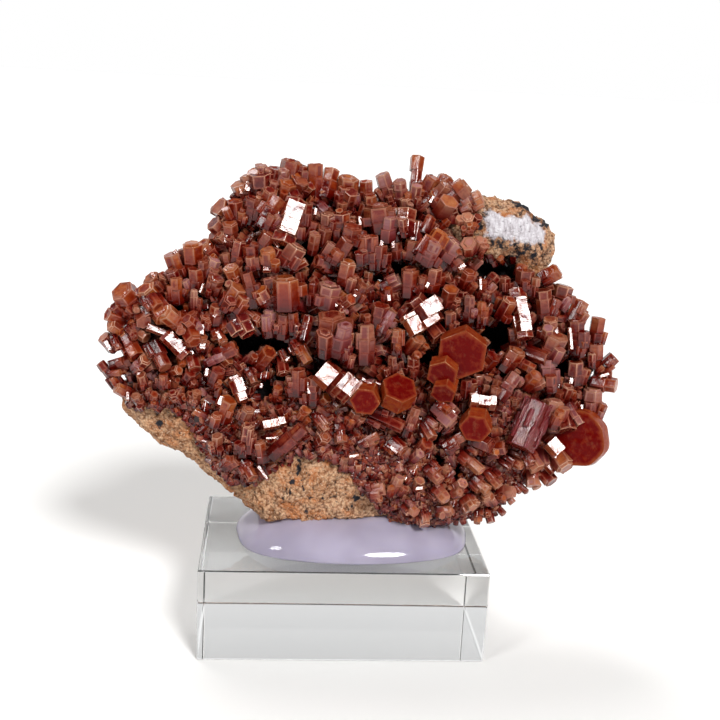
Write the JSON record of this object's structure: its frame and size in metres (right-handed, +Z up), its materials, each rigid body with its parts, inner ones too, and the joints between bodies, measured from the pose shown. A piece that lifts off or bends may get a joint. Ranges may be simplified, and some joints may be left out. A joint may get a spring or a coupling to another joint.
{
  "type": "vanadinite on matrix",
  "caption": "Cluster of hexagonal vanadinite crystals on a piece of matrix rock, leaning upright on a clear display block.",
  "frame": {"origin": "middle of the display block's underside", "axes": "+Z up, the crystal face looks towards -Y, +X along the block's long side to the right of that face"},
  "size_m": [0.0712, 0.0278, 0.065],
  "materials": {
    "clear_acrylic": "polished, clear",
    "milky_glue": "glossy, milky translucent",
    "matrix_rock": "rough, granular",
    "vanadinite": "glossy, resinous crystal faces"
  },
  "bodies": {
    "root": {"crystal_bright_pair": "vanadinite", "crystal_crest_prism": "vanadinite", "crystal_diagonal_prism": "vanadinite", "crystal_hexagonal_tablet": "vanadinite", "crystal_mirror_pair": "vanadinite", "crystal_red_plate": "vanadinite", "crystal_rough_purple": "vanadinite", "crystals_centre": "vanadinite", "crystals_centre_columns": "vanadinite", "crystals_crest_fan": "vanadinite", "crystals_left_barrel": "vanadinite", "crystals_left_crest": "vanadinite", "crystals_left_face": "vanadinite", "crystals_left_hollow": "vanadinite", "crystals_left_middle": "vanadinite", "crystals_left_rim": "vanadinite", "crystals_left_shoulder": "vanadinite", "crystals_left_tip": "vanadinite", "crystals_low_centre": "vanadinite", "crystals_low_foot": "vanadinite", "crystals_lower_left": "vanadinite", "crystals_lower_middle": "vanadinite", "crystals_lower_prisms": "vanadinite", "crystals_lower_right": "vanadinite", "crystals_middle_crest": "vanadinite", "crystals_red_plates": "vanadinite", "crystals_right_crest": "vanadinite", "crystals_right_druse": "vanadinite", "crystals_right_edge": "vanadinite", "crystals_right_face": "vanadinite", "crystals_right_foot": "vanadinite", "crystals_right_middle": "vanadinite", "crystals_right_prisms": "vanadinite", "crystals_right_rim": "vanadinite", "crystals_right_shoulder": "vanadinite", "crystals_tall_red": "vanadinite", "crystals_upper_centre": "vanadinite", "crystals_upper_left": "vanadinite", "crystals_upper_middle": "vanadinite", "crystals_upper_right": "vanadinite", "display_block": "clear_acrylic", "glue_bed": "milky_glue", "matrix_rock": "matrix_rock"}
  },
  "joints": []
}
